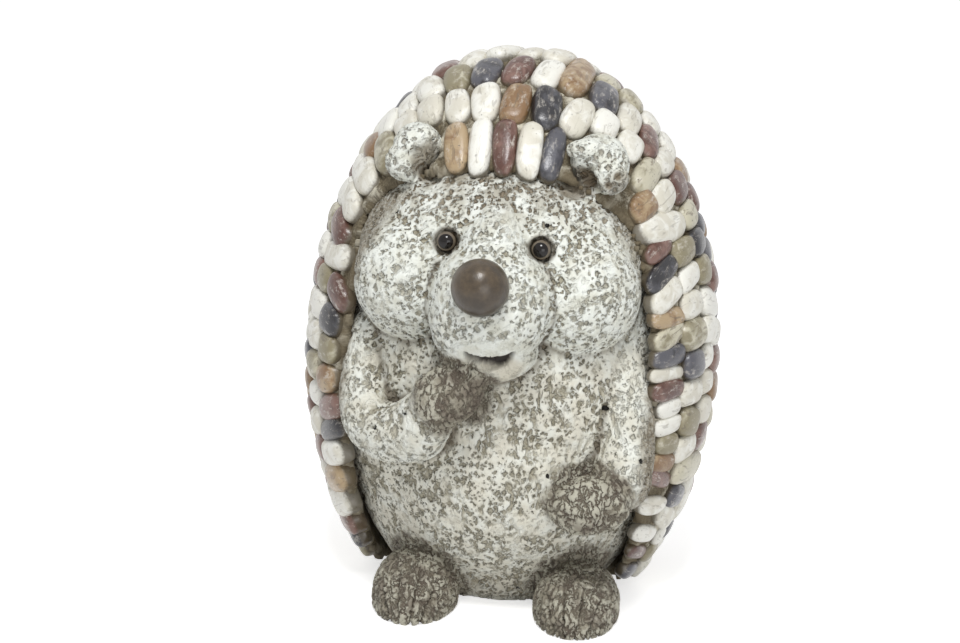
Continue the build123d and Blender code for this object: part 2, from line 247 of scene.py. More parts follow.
def copy_of_node(node, name):
    """The CAD node's mesh as a new object, with its triangles joined up."""
    obj = bpy.data.objects.new(name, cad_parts[node].data.copy())
    bpy.context.scene.collection.objects.link(obj)
    obj.data.materials.clear()
    only(obj)
    bpy.ops.object.mode_set(mode="EDIT")
    bpy.ops.mesh.select_all(action="SELECT")
    bpy.ops.mesh.remove_doubles(threshold=JOIN_DISTANCE)
    bpy.ops.object.mode_set(mode="OBJECT")
    return obj


def points_of(mesh):
    values = np.empty(len(mesh.vertices) * 3, np.float32)
    mesh.vertices.foreach_get("co", values)
    return values.reshape(-1, 3).astype(float)


def set_points(mesh, points):
    mesh.vertices.foreach_set("co", points.astype(np.float32).ravel())
    mesh.update()


def add_attribute(mesh, name, values, kind="FLOAT"):
    layer = mesh.attributes.new(name, kind, "POINT")
    field = "vector" if kind == "FLOAT_VECTOR" else "value"
    layer.data.foreach_set(field, np.array(values, np.float32).ravel())


def grow_with_nodes(obj, build):
    """Runs a geometry node tree on the mesh: build gets the graph, the place and the normal, and returns
    the attributes to keep and the offset along the normal."""
    tree = bpy.data.node_groups.new(obj.name, "GeometryNodeTree")
    for way in ("INPUT", "OUTPUT"):
        tree.interface.new_socket("Geometry", in_out=way, socket_type="NodeSocketGeometry")
    graph = Graph(tree)
    mesh = graph.add("NodeGroupInput").outputs[0]
    place = graph.add("GeometryNodeInputPosition").outputs[0]
    normal = graph.add("GeometryNodeInputNormal").outputs[0]
    kept, offset = build(graph, place, normal)
    for name, (kind, value) in kept.items():
        inputs = {"Geometry": mesh, "Name": name, "Value": value}
        settings = {"data_type": kind, "domain": "POINT"}
        mesh = graph.add("GeometryNodeStoreNamedAttribute", inputs, **settings).outputs[0]
    push = graph.vector("SCALE", normal, Scale=offset)
    mesh = graph.add("GeometryNodeSetPosition", {"Geometry": mesh, "Offset": push}).outputs[0]
    graph.add("NodeGroupOutput", {0: mesh})
    apply_modifier(obj, "NODES", node_group=tree)


def hollow_at(graph, place, normal, rounds):
    """How far the surface lies below its surroundings, in metres: positive in creases."""
    blurred = graph.add("GeometryNodeBlurAttribute", {"Iterations": rounds}, data_type="FLOAT_VECTOR")
    vector_in = next(socket for socket in blurred.inputs if socket.enabled and socket.type == "VECTOR")
    graph.tree.links.new(place, vector_in)
    vector_out = next(socket for socket in blurred.outputs if socket.enabled)
    lift = graph.vector("SUBTRACT", vector_out, place)
    return graph.vector("DOT_PRODUCT", lift, normal, output="Value")


# Patterns of the casting, which its relief and its colours share

PIT_SPACING = 3.1 * MM
SMALL_PIT_SPACING = 1.7 * MM
PIT_EDGE_SIZE = 1.7 * MM
PIT_EDGE_REACH = 2.3 * MM
PIT_PATCH_SIZE = 11 * MM
GROOVE_SPACING = 3.0 * MM
GROOVE_BEND_SIZE = 8 * MM
GROOVE_BEND_REACH = 7 * MM
GROOVE_PATCH_SIZE = 9 * MM
GROOVES_FADE = (128 * MM, 108 * MM)
STREAK_SPACING = 1.7 * MM
STREAK_SLANT = radians(38)
STREAKS_FADE = (116 * MM, 132 * MM)
PINHOLE_SPACING = 10 * MM
PINHOLE_EDGE_SIZE = 1.5 * MM
PINHOLE_EDGE_REACH = 1.4 * MM
WRINKLE_SPACING = 2.8 * MM
WRINKLE_BEND = 6 * MM

SMOOTH_LIPS_CENTRE = MOUTH_CENTRE + Vector((0, 0, -2)) * MM
SMOOTH_LIPS_HALF_SIZES = Vector((17.0, 20.0, 11.0)) * MM

PAW_HALF_SIZES = Vector((19, 19, 19)) * MM
FOOT_HALF_SIZES = Vector((24, 42, 26)) * MM
PAWS_AND_FEET = (
    (RIGHT_PAW, PAW_HALF_SIZES),
    (LEFT_PAW, PAW_HALF_SIZES),
    (RIGHT_FOOT, FOOT_HALF_SIZES),
    (LEFT_FOOT, FOOT_HALF_SIZES),
)
LIMB_EDGE_WANDER = 9 * MM

TOES_OFFSET = Vector((0, -27, 2)) * MM
TOES_HALF_SIZES = Vector((15, 18, 17)) * MM
TOE_SPLAY_HEIGHT = 26 * MM
TOE_SPLAY_SHARE = 0.11
TOE_LINE_SHARE = 0.024
TOE_BEND_SIZE = 6 * MM
TOE_BEND_REACH = 2.5 * MM

EAR_HALF_SIZES = Vector((18, 18, 18)) * MM
EARS = ((RIGHT_EAR, EAR_HALF_SIZES), (LEFT_EAR, EAR_HALF_SIZES))
EAR_LOBES = (
    (RIGHT_EAR + Vector((-3.0, -6.0, -4.5)) * MM, Vector((9.0, 8.0, 8.5)) * MM),
    (RIGHT_EAR + Vector((4.5, -6.0, 2.0)) * MM, Vector((6.5, 7.0, 10.0)) * MM),
    (LEFT_EAR + Vector((6.5, -9.0, -5.0)) * MM, Vector((8.0, 6.5, 7.5)) * MM),
    (LEFT_EAR + Vector((-3.0, -8.0, 5.5)) * MM, Vector((10.0, 6.0, 5.0)) * MM),
)
EAR_HOLLOWS = (
    (RIGHT_EAR + Vector((7.0, -9.0, -3.0)) * MM, Vector((7.0, 9.0, 9.0)) * MM),
    (LEFT_EAR + Vector((-7.0, -9.0, -8.0)) * MM, Vector((9.0, 9.0, 6.0)) * MM),
)
EAR_DIMPLES = (LEFT_EAR + Vector((10.5, -14.5, -3.5)) * MM, LEFT_EAR + Vector((6.5, -14.5, -8.0)) * MM)


def balls(centres, radius):
    """Centres with the half sizes of a ball."""
    return [(centre, (radius,) * 3) for centre in centres]


def paws_and_feet(g, where):
    """1 on the paws and feet, which are darker and wrinkled."""
    return g.near_any(g.shaken(where, LIMB_EDGE_WANDER, LIMB_EDGE_WANDER), PAWS_AND_FEET, 0.12)


def mouth_opening(g, where):
    """1 in the dark crescent between the muzzle and the lower lip."""
    open_mouth = g.near(where, MOUTH_CENTRE, MOUTH_HALF_SIZES, 0.06)
    return g.less(open_mouth, g.near(where, UPPER_LIP_CENTRE, UPPER_LIP_HALF_SIZES, 0.06))


def holes_in(g, where, size, least, most, soft, channel, metric="EUCLIDEAN"):
    """Separate bowls of about the given spacing. Their radii are drawn between least and most,
    as shares of it, from one channel of the cells' colours."""
    cells = g.cells(where, size, metric)
    reach = g.ramp(g.axis(cells.outputs["Color"], channel), 0.1, 0.9, least, most)
    return g.ramp(g.math("SUBTRACT", reach, cells.outputs["Distance"]), 0.0, soft)


def grooves(g, where):
    """1 in the drawn-out grooves on the belly."""
    waves = g.shaken(where, GROOVE_BEND_SIZE, GROOVE_BEND_REACH)
    drawn = g.noise(g.stretched(waves, (1.0, 1.0, 0.42)), GROOVE_SPACING, 2.0, 0.6)
    low = g.times(g.ramp(drawn, 0.5, 0.62), g.ramp(g.height_of(where), *GROOVES_FADE))
    return g.times(low, g.ramp(g.noise(where, GROOVE_PATCH_SIZE), 0.35, 0.55))


def streaks(g, where):
    """1 in the short slanting strokes on the head."""
    turned = {"Vector": where, "Angle": STREAK_SLANT}
    slanted = g.add("ShaderNodeVectorRotate", turned, rotation_type="Y_AXIS").outputs[0]
    strokes = g.noise(g.stretched(slanted, (0.4, 0.8, 1.0)), STREAK_SPACING, 2.0, 0.55)
    return g.times(g.ramp(strokes, 0.55, 0.68), g.ramp(g.height_of(where), *STREAKS_FADE))


def pits(g, where):
    """1 in the bottom of each scooped pit, 0 on the smooth ridges between them."""
    loose = g.shaken(where, PIT_EDGE_SIZE, PIT_EDGE_REACH, 4.0)
    squat = g.stretched(loose, (1.0, 0.8, 0.85))
    large = holes_in(g, squat, PIT_SPACING, 0.32, 0.76, 0.34, 0, "MANHATTAN")
    small = g.times(holes_in(g, loose, SMALL_PIT_SPACING, 0.1, 0.62, 0.3, 1), 0.75)
    lines = g.most(g.times(streaks(g, where), 0.55), g.times(grooves(g, where), 0.85))
    sparse = g.ramp(g.noise(where, PIT_PATCH_SIZE), 0.34, 0.5, 0.4, 1.0)
    lips = g.near(where, SMOOTH_LIPS_CENTRE, SMOOTH_LIPS_HALF_SIZES)
    return g.less(g.times(g.most(large, small, lines), sparse), g.times(lips, 0.75))


def pinholes(g, where):
    """1 in the few small deep holes that air bubbles left."""
    loose = g.shaken(where, PINHOLE_EDGE_SIZE, PINHOLE_EDGE_REACH)
    holes = holes_in(g, loose, PINHOLE_SPACING, -0.12, 0.13, 0.02, 2)
    return g.less(holes, g.near(where, MOUTH_CENTRE, SMOOTH_LIPS_HALF_SIZES))


def wrinkles(g, where):
    """Short rounded folds that run together, as on a modelled paw: 1 on the folds, 0 between them."""
    drawn = g.stretched(g.shaken(where, WRINKLE_BEND, WRINKLE_BEND), (1.0, 0.7, 0.55))
    lines = g.noise(drawn, WRINKLE_SPACING, 3.0, 0.6)
    return g.ramp(g.math("ABSOLUTE", g.plus(lines, -0.5)), 0.0, 0.09)


def toe_lines(g, where):
    """1 in the grooves that part the toes on the front of both feet."""
    lines = []
    for foot in (RIGHT_FOOT, LEFT_FOOT):
        offset = g.vector("SUBTRACT", g.shaken(where, TOE_BEND_SIZE, TOE_BEND_REACH), tuple(foot))
        splay = g.math("DIVIDE", g.axis(offset, 0), g.plus(g.height_of(offset), TOE_SPLAY_HEIGHT))
        wave = g.math("PINGPONG", g.plus(splay, TOE_SPLAY_SHARE), TOE_SPLAY_SHARE)
        toes = g.near(where, foot + TOES_OFFSET, TOES_HALF_SIZES)
        lines.append(g.times(g.ramp(wave, TOE_LINE_SHARE, 0.0), toes))
    return g.most(*lines)


# Casting

OPENING_HALF_WIDTH = 66.5 * MM
OPENING_RISE = 91.0 * MM
OPENING_DROP = 150.0 * MM
OPENING_FULLNESS = 2.5
PAW_NUDGE_REACH = 42 * MM
RIGHT_PAW_NUDGE = Vector((-5.5, 0.0, -3.0)) * MM

# Where the casting is seen: outside its inner wall, and either in the opening or clear of the mortar
SKIN_SHARE = 0.97
PROUD_SHARE = 1.03
SHOWN_OPENING_SHARE = 1.04

PIT_DEPTH = 1.3 * MM
PINHOLE_DEPTH = 1.5 * MM
MOUTH_DEPTH = 3.5 * MM
DIMPLE_RADIUS = 1.9 * MM
DIMPLE_DEPTH = 1.5 * MM
EAR_HOLLOW_DEPTH = 2.5 * MM
FOLD_HEIGHT = 1.1 * MM
TOE_LINE_DEPTH = 2.0 * MM
WAVE_SIZE = 13 * MM
WAVE_HEIGHT = 1.6 * MM
HOLLOW_ROUNDS = 60
FILL_DEPTH = 3.0 * MM
FILL_FADE = (122 * MM, 134 * MM)
UNFILLED_LIPS_HALF_SIZES = Vector((18, 20, 14)) * MM
UNFILLED_SOCKET_RADIUS = 8 * MM

CLOUD_SIZE = 7 * MM
GRAIN_SIZE = 1.1 * MM
DRY_BRUSH_SIZE = 9 * MM
PROUD_HEIGHT = -0.9 * MM
BELLY_FADE = (132 * MM, 112 * MM)
BELLY_PROUD = (-0.9 * MM, -0.1 * MM)
BROWN_PITS_FADE = (168 * MM, 188 * MM)
BROW_FADE = (172 * MM, 198 * MM)
LOW_DARKENING_FADE = (22 * MM, 8 * MM)
LOW_DARKENING_WANDER = 12 * MM
CREASE_DEPTHS = (0.25 * MM, 1.7 * MM)
CREASE_WANDER = 1.0 * MM
DARK_PAW_SIDE = RIGHT_PAW + Vector((9, -8, -4)) * MM
DARK_PAW_SIDE_RADIUS = 12 * MM
LEFT_PAW_PAINTED_HIGHLIGHT = LEFT_PAW + Vector((-3, -10, 7)) * MM
LEFT_PAW_PAINTED_HIGHLIGHT_RADIUS = 13 * MM
LOWER_LIP_CENTRE = MOUTH_CENTRE + Vector((0, 0, -8)) * MM
LOWER_LIP_HALF_SIZES = Vector((15, 20, 7.5)) * MM
SOCKET_RADIUS = 6.2 * MM
DARK_DIMPLE_RADIUS = 2.0 * MM

CAST_WHITE = linear(234, 237, 230)
CAST_GREY_WHITE = linear(216, 216, 203)
BELLY_CREAM = linear(216, 212, 197)
PIT_BROWN = linear(116, 109, 90)
PIT_PALE = linear(176, 171, 153)
BROW_PIT_BROWN = linear(116, 99, 79)
RIM_BROWN = linear(120, 108, 88)
CREASE_WASH_AND_SHADE = linear(96, 86, 70)
PAW_GREY = linear(136, 129, 113)
PAW_BROWN = linear(110, 100, 88)
PAW_BRUSHED = linear(188, 185, 169)
PAW_LINE = linear(80, 71, 59)
LIP_CREAM = linear(212, 206, 189)
MOUTH_DARK = linear(40, 33, 28)
SOCKET_BROWN = linear(90, 81, 65)
EAR_BROWN_AND_SHADE = linear(116, 102, 80)
PINHOLE_BLACK = linear(26, 24, 20)


def egg_share(points):
    """How far out points lie, as shares of the egg."""
    sizes = np.array((EGG_RADIUS, EGG_RADIUS, EGG_HALF_HEIGHT))
    return np.linalg.norm((points - np.array(EGG_CENTRE)) / sizes, axis=1)


def opening_share(points):
    """How far out points lie in front view, as shares of the way to the opening's edge."""
    offset = points - np.array(EGG_CENTRE)
    upright = np.where(offset[:, 2] > 0, OPENING_RISE, OPENING_DROP)
    across = np.abs(offset[:, 0] / OPENING_HALF_WIDTH) ** OPENING_FULLNESS
    return (across + np.abs(offset[:, 2] / upright) ** OPENING_FULLNESS) ** (1 / OPENING_FULLNESS)


def ear_lobe(centre, half_sizes):
    bpy.ops.object.select_all(action="DESELECT")
    bpy.ops.mesh.primitive_ico_sphere_add(subdivisions=4, radius=1, location=centre, scale=half_sizes)
    bpy.ops.object.transform_apply(location=True, rotation=True, scale=True)
    return bpy.context.object


def nudge(obj, centre, reach, step):
    """Moves the surface near a place by a step that fades out towards the reach."""
    points = points_of(obj.data)
    share = np.clip(1 - np.linalg.norm(points - np.array(centre), axis=1) / reach, 0, 1)
    set_points(obj.data, points + (share * share * (3 - 2 * share))[:, None] * np.array(step))


def make_casting():
    """The CAD casting with ear lobes, as one even mesh that is coarser where it is never seen."""
    casting = copy_of_node("body_casting", "casting")
    lobes = [ear_lobe(*lobe) for lobe in EAR_LOBES]
    only(casting)
    for lobe in lobes:
        lobe.select_set(True)
    bpy.ops.object.join()
    apply_modifier(casting, "REMESH", mode="VOXEL", voxel_size=CASTING_VOXEL)
    apply_modifier(casting, "SMOOTH", factor=0.5, iterations=6)
    points = points_of(casting.data)
    share = egg_share(points)
    in_opening = (points[:, 1] < EGG_CENTRE.y) & (opening_share(points) < SHOWN_OPENING_SHARE)
    shown = (share > SKIN_SHARE) & ((share > PROUD_SHARE) | in_opening)
    group = casting.vertex_groups.new(name="hidden")
    group.add(np.flatnonzero(~shown).tolist(), 1.0, "REPLACE")
    apply_modifier(casting, "DECIMATE", ratio=HIDDEN_KEEP, vertex_group="hidden")
    nudge(casting, RIGHT_PAW, PAW_NUDGE_REACH, RIGHT_PAW_NUDGE)
    add_attribute(casting.data, "edge", opening_share(points_of(casting.data)))
    return casting


def casting_relief(g, place, normal):
    limbs = paws_and_feet(g, place)
    ear_hollows = g.near_any(place, EAR_HOLLOWS, 0.35)
    carved = (
        (pits(g, place), PIT_DEPTH),
        (pinholes(g, place), PINHOLE_DEPTH),
        (mouth_opening(g, place), MOUTH_DEPTH),
        (g.near_any(place, balls(EAR_DIMPLES, DIMPLE_RADIUS), 0.3), DIMPLE_DEPTH),
        (ear_hollows, EAR_HOLLOW_DEPTH),
    )
    lower = 0.0
    for pattern, depth in carved:
        lower = g.plus(lower, g.times(pattern, -depth))
    folds = g.times(g.plus(wrinkles(g, place), -0.6), FOLD_HEIGHT)
    relief = g.plus(g.less(lower, limbs), g.times(folds, limbs))
    relief = g.plus(relief, g.times(toe_lines(g, place), -TOE_LINE_DEPTH))

    hollow = hollow_at(g, place, normal, HOLLOW_ROUNDS)
    fill = g.times(g.ramp(hollow, 0.0, FILL_DEPTH), g.ramp(g.height_of(place), *FILL_FADE))
    lips = g.near(place, MOUTH_CENTRE, UNFILLED_LIPS_HALF_SIZES, 0.2)
    sockets = g.near_any(place, balls((RIGHT_EYE, LEFT_EYE), UNFILLED_SOCKET_RADIUS), 0.2)
    fill = g.less(g.less(g.times(fill, FILL_DEPTH), lips), g.most(sockets, ear_hollows))
    waves = g.swing(g.noise(place, WAVE_SIZE, 3.0), WAVE_HEIGHT)
    kept = {"rest": ("FLOAT_VECTOR", place), "hollow": ("FLOAT", hollow)}
    return kept, g.plus(g.plus(relief, fill), waves)


def paw_colour(g, rest, cloud, fold):
    """Grey brown folds with a dry-brushed top, uneven from one side of a paw to the other, and a painted
    highlight on the left paw's upper front.
    """
    colour = g.mix(g.ramp(cloud, 0.35, 0.65), PAW_GREY, PAW_BROWN)
    dry = g.ramp(g.noise(rest, DRY_BRUSH_SIZE, 4.0, 0.7), 0.42, 0.58, 0.15, 0.85)
    dry = g.less(dry, g.times(g.near(rest, DARK_PAW_SIDE, (DARK_PAW_SIDE_RADIUS,) * 3, 0.4), 0.8))
    # Painted highlight: the brushed colour laid over the left paw's upper front.
    dry = g.most(dry, g.times(g.near(rest, LEFT_PAW_PAINTED_HIGHLIGHT, (LEFT_PAW_PAINTED_HIGHLIGHT_RADIUS,) * 3, 0.5), 0.95))
    colour = g.mix(g.times(g.ramp(fold, 0.25, 0.95), dry), colour, PAW_BRUSHED)
    lines = g.most(g.ramp(fold, 0.24, 0.0, 0.0, 0.55), g.times(toe_lines(g, rest), 0.8))
    return g.mix(lines, colour, PAW_LINE)


def casting_finish():
    """Off-white paint over a brown wash that stays in the pits; the creases and the edges along the
    mortar are browned partly by the wash and partly as painted shade.
    """
    g = Finish("cast_stone", Roughness=0.62, Specular_IOR_Level=0.4)
    rest = g.read("rest", "Vector")
    hollow = g.read("hollow")
    height = g.height_of(rest)
    limbs = paws_and_feet(g, rest)
    pit = pits(g, rest)
    fold = wrinkles(g, rest)
    cloud = g.noise(rest, CLOUD_SIZE, 3.0, 0.6)
    fine = g.noise(rest, GRAIN_SIZE, 4.0, 0.65)

    belly = g.times(g.ramp(height, *BELLY_FADE), g.ramp(hollow, *BELLY_PROUD, 0.35, 1.0))
    pale = g.mix(g.ramp(cloud, 0.35, 0.7), CAST_WHITE, CAST_GREY_WHITE)
    pale = g.mix(g.times(belly, g.ramp(cloud, 0.3, 0.7, 0.4, 1.0)), pale, BELLY_CREAM)
    dark = g.mix(g.ramp(fine, 0.32, 0.6), PIT_BROWN, PIT_PALE)
    dark = g.mix(g.ramp(height, *BROWN_PITS_FADE, 0.0, 0.65), dark, BROW_PIT_BROWN)
    proud = g.ramp(hollow, 0.0, PROUD_HEIGHT, 1.0, 0.6)
    washed = g.times(g.ramp(g.plus(pit, g.swing(fine, 0.6)), 0.18, 0.62), proud)
    # Painted light: half the wash is left off the left arm to brighten it.
    washed = g.less(washed, g.times(g.near(rest, LEFT_ARM_PAINTED_LIGHT, LEFT_ARM_PAINTED_LIGHT_HALF_SIZES, 0.3), 0.5))
    colour = g.mix(washed, pale, dark)

    ears = g.near_any(rest, EARS, 0.15)
    edge = g.plus(g.read("edge"), g.swing(cloud, 0.1))
    # Brown along the mortar's edge: wash and dirt, partly painted shade where the casting meets the
    # mortar.
    rim = g.less(g.times(g.ramp(edge, 0.93, 1.03), g.ramp(fine, 0.3, 0.6, 0.45, 0.9)), ears)
    brow = g.less(g.times(g.ramp(height, *BROW_FADE), g.ramp(cloud, 0.35, 0.6, 0.1, 0.75)), ears)
    # The casting turns browner towards the floor.
    low_darkening = g.ramp(g.plus(height, g.swing(cloud, LOW_DARKENING_WANDER)), *LOW_DARKENING_FADE)
    colour = g.mix(g.most(brow, rim, g.times(low_darkening, 0.3)), colour, RIM_BROWN)
    # Creases darken with their depth: brown wash, deepened as painted shade that stands in for
    # occlusion.
    depth = g.plus(hollow, g.swing(cloud, CREASE_WANDER))
    colour = g.mix(g.ramp(depth, *CREASE_DEPTHS, 0.0, 0.85), colour, CREASE_WASH_AND_SHADE)
    colour = g.mix(limbs, colour, paw_colour(g, rest, cloud, fold))

    lip = g.near(rest, LOWER_LIP_CENTRE, LOWER_LIP_HALF_SIZES, 0.2)
    colour = g.mix(g.less(g.times(lip, 0.85), limbs), colour, LIP_CREAM)
    colour = g.mix(g.less(mouth_opening(g, rest), limbs), colour, MOUTH_DARK)
    sockets = g.near_any(rest, balls((RIGHT_EYE, LEFT_EYE), SOCKET_RADIUS), 0.16)
    colour = g.mix(g.times(sockets, 0.85), colour, SOCKET_BROWN)
    # Brown in the ear dimples and hollows: paint, partly painted shade in the cavities.
    dimples = g.near_any(rest, balls(EAR_DIMPLES, DARK_DIMPLE_RADIUS), 0.3)
    hollows = g.near_any(rest, EAR_HOLLOWS, 0.35)
    colour = g.mix(g.most(g.times(dimples, 0.8), g.times(hollows, 0.75)), colour, EAR_BROWN_AND_SHADE)
    colour = g.mix(g.less(pinholes(g, rest), limbs), colour, PINHOLE_BLACK)
    g.set("Base Color", colour)
    relief = g.plus(g.times(g.less(pit, limbs), -1.0), g.times(g.times(fold, limbs), 0.5))
    g.bump(g.plus(g.times(fine, 0.2), relief), PIT_DEPTH)
    return g.material


def split_casting(casting):
    """The head and the body as two closed pieces that meet face to face."""
    head = casting.copy()
    head.data = casting.data.copy()
    bpy.context.scene.collection.objects.link(head)
    head.name, casting.name = "casting_head", "casting_body"
    for obj, outer in ((head, False), (casting, True)):
        only(obj)
        bpy.ops.object.mode_set(mode="EDIT")
        bpy.ops.mesh.select_all(action="SELECT")
        seam = {"plane_co": (0, 0, HEAD_SEAM_HEIGHT), "plane_no": (0, 0, 1), "use_fill": True}
        bpy.ops.mesh.bisect(**seam, clear_inner=not outer, clear_outer=outer)
        bpy.ops.mesh.mark_sharp()
        bpy.ops.object.mode_set(mode="OBJECT")
    return [head, casting]


# Mortar

MORTAR_LUMP_SIZE = 8 * MM
MORTAR_CRUMB_SIZE = 3 * MM
MORTAR_RISE = (0.6 * MM, 2.8 * MM)
MORTAR_GRAIN_SIZE = 0.9 * MM
MORTAR_GRAIN_DEPTH = 0.5 * MM
MORTAR_BROWN = linear(80, 71, 54)
MORTAR_GREY = linear(122, 112, 90)
MORTAR_CREAM = linear(206, 201, 184)
MORTAR_EDGE_BROWN = linear(108, 97, 76)


def make_mortar():
    mortar = copy_of_node("mortar_coat", "mortar")
    apply_modifier(mortar, "REMESH", mode="VOXEL", voxel_size=MORTAR_VOXEL)
    apply_modifier(mortar, "SMOOTH", factor=0.5, iterations=5)
    add_attribute(mortar.data, "edge", opening_share(points_of(mortar.data)))
    return mortar


def mortar_relief(g, place, normal):
    radius, half_height = EGG_RADIUS + MORTAR_THICKNESS, EGG_HALF_HEIGHT + MORTAR_THICKNESS
    offset = g.vector("SUBTRACT", place, tuple(EGG_CENTRE))
    out = g.vector("LENGTH", g.vector("DIVIDE", offset, (radius, radius, half_height)), output="Value")
    crumbs = g.times(g.noise(place, MORTAR_CRUMB_SIZE), 0.3)
    lumps = g.plus(g.noise(place, MORTAR_LUMP_SIZE, 3.0, 0.55), crumbs)
    kept = {"rest": ("FLOAT_VECTOR", place), "lumps": ("FLOAT", lumps)}
    return kept, g.times(g.ramp(out, 0.93, 0.99), g.ramp(lumps, 0.35, 0.95, *MORTAR_RISE))


def mortar_finish():
    g = Finish("mortar", Roughness=0.85)
    fine = g.noise(g.read("rest", "Vector"), MORTAR_GRAIN_SIZE, 4.0, 0.65)
    high = g.ramp(g.plus(g.read("lumps"), g.swing(fine, 0.25)), 0.62, 0.84)
    colour = g.mix(g.ramp(fine, 0.3, 0.7), MORTAR_BROWN, MORTAR_GREY)
    colour = g.mix(high, colour, MORTAR_CREAM)
    edge = g.plus(g.read("edge"), g.swing(fine, 0.04))
    colour = g.mix(g.ramp(edge, 1.07, 1.02, 0.0, 0.6), colour, MORTAR_EDGE_BROWN)
    g.set("Base Color", colour)
    g.bump(fine, MORTAR_GRAIN_DEPTH)
    return g.material


# Pebbles

STONE_FULLNESS = 2.9
STONE_FULLNESS_SPREAD = (0.9, 1.25)
STONE_SWELL = 1.6 * MM
STONE_LENGTHENING = 2.6 * MM
STONE_TURN = radians(11)
STONE_RISE_SHARE = 0.8
STONE_SIZE_SHARE = 0.95
STONE_DENT_SHARE = 0.17
STONE_RIPPLE_SHARE = 0.1
DENTS_PER_STONE = 0.9
RIPPLES_PER_STONE = 2.1

STONE_DRIFT_SIZE = 7 * MM
STONE_GRAIN_SIZE = 1.2 * MM
STONE_VEIL_SIZE = 3.0 * MM
STONE_BAND_SIZE = 2.4 * MM
STONE_DOT_SPACING = 2.2 * MM
STONE_DOT_EDGE_SIZE = 2 * MM
STONE_DOT_EDGE_REACH = 1 * MM
STONE_GRAIN_DEPTH = 0.35 * MM
STONE_VEIL = linear(220, 214, 204)
STONE_BAND = linear(104, 92, 76)
STONE_DOT = linear(88, 80, 68)
STONE_FOOT_DIRT_AND_SHADE = linear(92, 83, 66)

# Body colour, second colour, share of pale veil, share of dark specks, roughness
STONE_KINDS = {
    "white": (linear(236, 235, 227), linear(212, 208, 194), 0.3, 0.35, 0.42),
    "slate": (linear(38, 37, 41), linear(82, 82, 89), 0.5, 0.2, 0.28),
    "russet": (linear(84, 52, 42), linear(126, 96, 86), 0.6, 0.4, 0.3),
    "ochre": (linear(128, 98, 66), linear(172, 150, 118), 0.5, 0.6, 0.35),
    "olive": (linear(136, 128, 102), linear(196, 191, 170), 0.4, 0.6, 0.4),
}

STONE_SEED = 7
stone_dice = random.Random(STONE_SEED)


def stone_cage():
    """A ball of 54 faces, as unit directions and faces."""
    bpy.ops.object.select_all(action="DESELECT")
    bpy.ops.mesh.primitive_cube_add(size=2)
    cube = bpy.context.object
    bpy.ops.object.mode_set(mode="EDIT")
    bpy.ops.mesh.select_all(action="SELECT")
    bpy.ops.mesh.subdivide(number_cuts=2)
    bpy.ops.object.mode_set(mode="OBJECT")
    corners = [Vector(v.co) for v in cube.data.vertices]
    faces = [tuple(p.vertices) for p in cube.data.polygons]
    bpy.data.objects.remove(cube)
    # evens out the spacing on the ball before the points are thrown onto it
    even = [Vector([sin(c * pi / 4) / sin(pi / 4) for c in corner]) for corner in corners]
    return [corner.normalized() for corner in even], faces


def loose_parts(mesh):
    """The vertex places of each separate solid in a mesh."""
    bm = bmesh.new()
    bm.from_mesh(mesh)
    bmesh.ops.remove_doubles(bm, verts=bm.verts, dist=JOIN_DISTANCE)
    left = set(bm.verts)
    parts = []
    for start in list(bm.verts):
        if start not in left:
            continue
        part, edge = [], [start]
        left.discard(start)
        while edge:
            vertex = edge.pop()
            part.append(Vector(vertex.co))
            for link in vertex.link_edges:
                other = link.other_vert(vertex)
                if other in left:
                    left.discard(other)
                    edge.append(other)
        parts.append(part)
    bm.free()
    return parts


def mortar_out(point):
    """Straight out from the mortar's surface."""
    radius, half_height = EGG_RADIUS + MORTAR_THICKNESS, EGG_HALF_HEIGHT + MORTAR_THICKNESS
    offset = point - EGG_CENTRE
    return Vector((offset.x / radius**2, offset.y / radius**2, offset.z / half_height**2)).normalized()


def stone_measures(part):
    """Where a stone lies: its middle at the mortar, its three axes, and its half length, half width
    and rise."""
    middle = sum(part, Vector()) / len(part)
    out = mortar_out(middle)
    side = out.orthogonal().normalized()
    across = out.cross(side)
    flat = np.array([((p - middle).dot(side), (p - middle).dot(across)) for p in part])
    angles = np.radians(np.arange(0, 180, 3))
    spans = [np.ptp(flat @ (cos(a), sin(a))) for a in angles]
    best = angles[int(np.argmax(spans))]
    along = side * cos(best) + across * sin(best)
    wide = out.cross(along)
    measures = []
    for axis in (along, wide, out):
        row = [(p - middle).dot(axis) for p in part]
        measures.append(((max(row) + min(row)) / 2, (max(row) - min(row)) / 2))
    (a, half_a), (b, half_b), (c, half_c) = measures
    base = middle + along * a + wide * b + out * (c - half_c)
    return base, (along, wide, out), (half_a, half_b, 2 * half_c)


CAGE_DIRECTIONS, CAGE_FACES = stone_cage()


